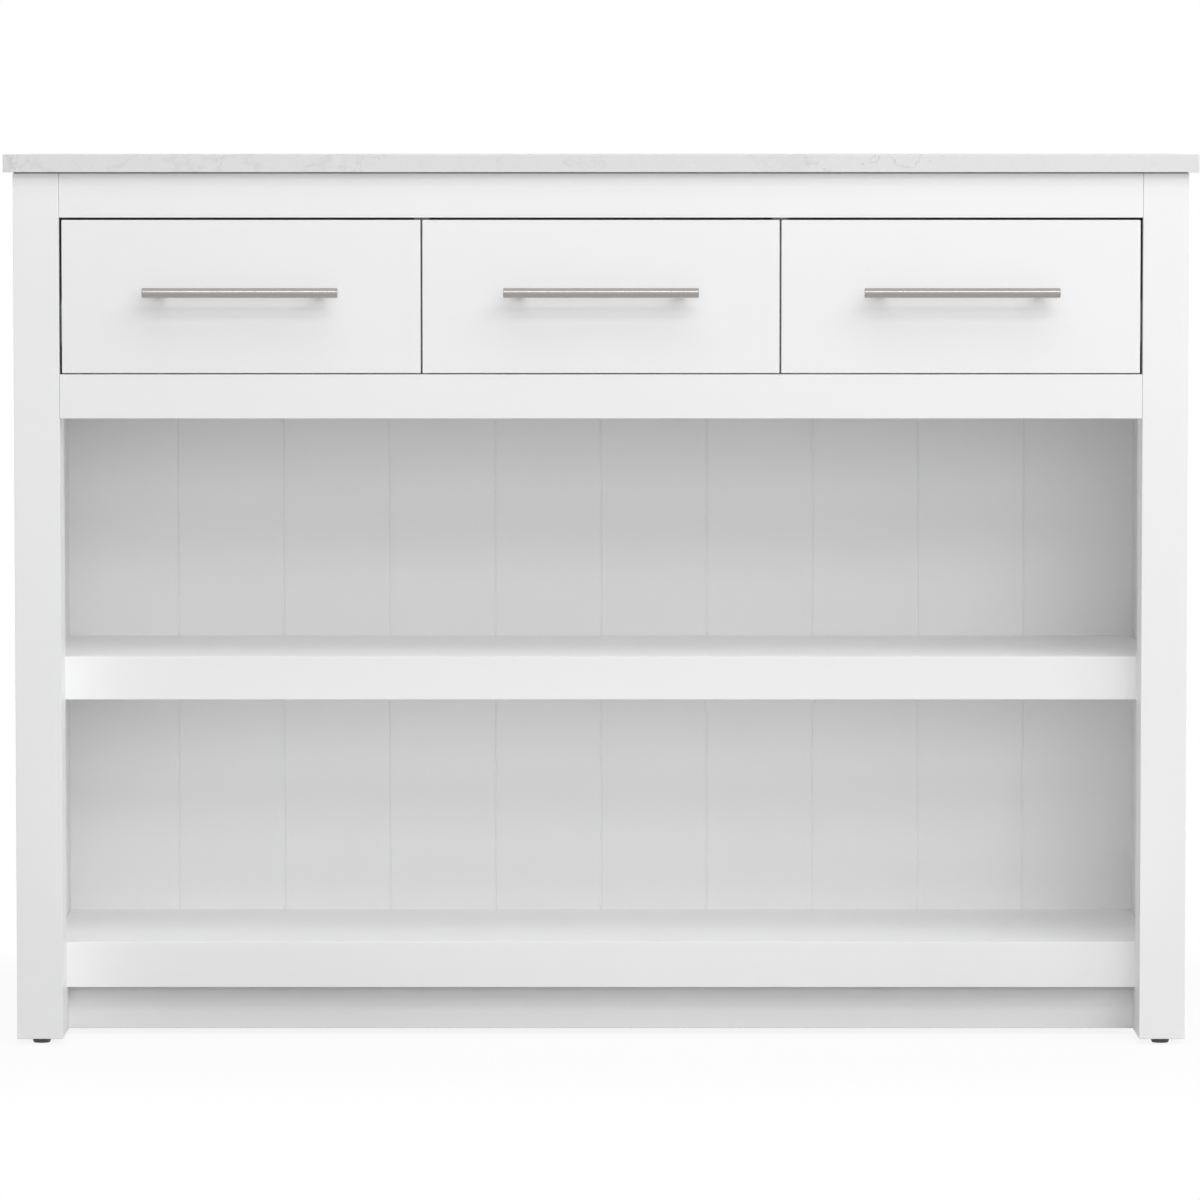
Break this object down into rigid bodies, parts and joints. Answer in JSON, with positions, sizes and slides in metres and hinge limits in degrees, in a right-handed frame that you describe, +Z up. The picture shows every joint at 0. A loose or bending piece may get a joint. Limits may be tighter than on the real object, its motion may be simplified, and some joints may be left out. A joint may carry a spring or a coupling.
{
  "type": "kitchen island unit",
  "caption": "Free-standing white kitchen island with a stone worktop, a row of inset drawers with steel bar handles, and open shelves on a grooved back panel.",
  "frame": {"origin": "centre of the footprint of the whole unit, handles included, on the floor", "axes": "+X to the right seen from the drawers, +Y from the drawers to the back, +Z up"},
  "size_m": [1.2, 0.475, 0.9],
  "materials": {
    "painted_board": "smooth sprayed satin white paint",
    "stone_top": "honed white engineered stone with faint grey veins and fine flecks",
    "handle_steel": "brushed stainless steel, lines along the bar",
    "runner_steel": "bright zinc plate",
    "drawer_side_steel": "light grey powder coat",
    "drawer_board": "white faced board with a fine texture",
    "glide_plastic": "dark grey moulded plastic",
    "bedding_sealant": "matt cured sealant in shadow"
  },
  "bodies": {
    "carcass": {"back_bottom_rail": "painted_board", "back_panel": "painted_board", "back_top_rail": "painted_board", "bottom_shelf_board": "painted_board", "bottom_shelf_front_rail": "painted_board", "drawer_deck": "painted_board", "drawer_rail": "painted_board", "front_left_glide": "glide_plastic", "front_left_post": "painted_board", "front_right_glide": "glide_plastic", "front_right_post": "painted_board", "front_top_rail": "painted_board", "left_bottom_rail": "painted_board", "left_drawer_left_runner_cabinet_member": "runner_steel", "left_drawer_right_runner_cabinet_member": "runner_steel", "left_partition": "painted_board", "left_side_panel": "painted_board", "left_top_rail": "painted_board", "mid_shelf_board": "painted_board", "mid_shelf_front_rail": "painted_board", "middle_drawer_left_runner_cabinet_member": "runner_steel", "middle_drawer_right_runner_cabinet_member": "runner_steel", "plinth": "painted_board", "rear_left_glide": "glide_plastic", "rear_left_post": "painted_board", "rear_right_glide": "glide_plastic", "rear_right_post": "painted_board", "right_bottom_rail": "painted_board", "right_drawer_left_runner_cabinet_member": "runner_steel", "right_drawer_right_runner_cabinet_member": "runner_steel", "right_partition": "painted_board", "right_side_panel": "painted_board", "right_top_rail": "painted_board", "worktop": "stone_top", "worktop_bedding": "bedding_sealant"},
    "left_drawer": {"left_drawer_back": "drawer_board", "left_drawer_bottom": "drawer_board", "left_drawer_front": "painted_board", "left_drawer_handle": "handle_steel", "left_drawer_left_side": "drawer_side_steel", "left_drawer_right_side": "drawer_side_steel"},
    "left_drawer_runners": {"left_drawer_left_runner_middle_member": "runner_steel", "left_drawer_right_runner_middle_member": "runner_steel"},
    "middle_drawer": {"middle_drawer_back": "drawer_board", "middle_drawer_bottom": "drawer_board", "middle_drawer_front": "painted_board", "middle_drawer_handle": "handle_steel", "middle_drawer_left_side": "drawer_side_steel", "middle_drawer_right_side": "drawer_side_steel"},
    "middle_drawer_runners": {"middle_drawer_left_runner_middle_member": "runner_steel", "middle_drawer_right_runner_middle_member": "runner_steel"},
    "right_drawer": {"right_drawer_back": "drawer_board", "right_drawer_bottom": "drawer_board", "right_drawer_front": "painted_board", "right_drawer_handle": "handle_steel", "right_drawer_left_side": "drawer_side_steel", "right_drawer_right_side": "drawer_side_steel"},
    "right_drawer_runners": {"right_drawer_left_runner_middle_member": "runner_steel", "right_drawer_right_runner_middle_member": "runner_steel"}
  },
  "joints": [
    {"name": "left_drawer_slide", "type": "slide", "parent": "carcass", "child": "left_drawer", "axis": [0, -1, 0], "range_m": [0, 0.3]},
    {"name": "left_runner_slide", "type": "slide", "parent": "carcass", "child": "left_drawer_runners", "axis": [0, -1, 0], "range_m": [0, 0.15]},
    {"name": "middle_drawer_slide", "type": "slide", "parent": "carcass", "child": "middle_drawer", "axis": [0, -1, 0], "range_m": [0, 0.3]},
    {"name": "middle_runner_slide", "type": "slide", "parent": "carcass", "child": "middle_drawer_runners", "axis": [0, -1, 0], "range_m": [0, 0.15]},
    {"name": "right_drawer_slide", "type": "slide", "parent": "carcass", "child": "right_drawer", "axis": [0, -1, 0], "range_m": [0, 0.3]},
    {"name": "right_runner_slide", "type": "slide", "parent": "carcass", "child": "right_drawer_runners", "axis": [0, -1, 0], "range_m": [0, 0.15]}
  ],
  "couplings": [
    {"joint": "left_runner_slide", "follows": "left_drawer_slide", "ratio": 0.5},
    {"joint": "middle_runner_slide", "follows": "middle_drawer_slide", "ratio": 0.5},
    {"joint": "right_runner_slide", "follows": "right_drawer_slide", "ratio": 0.5}
  ]
}
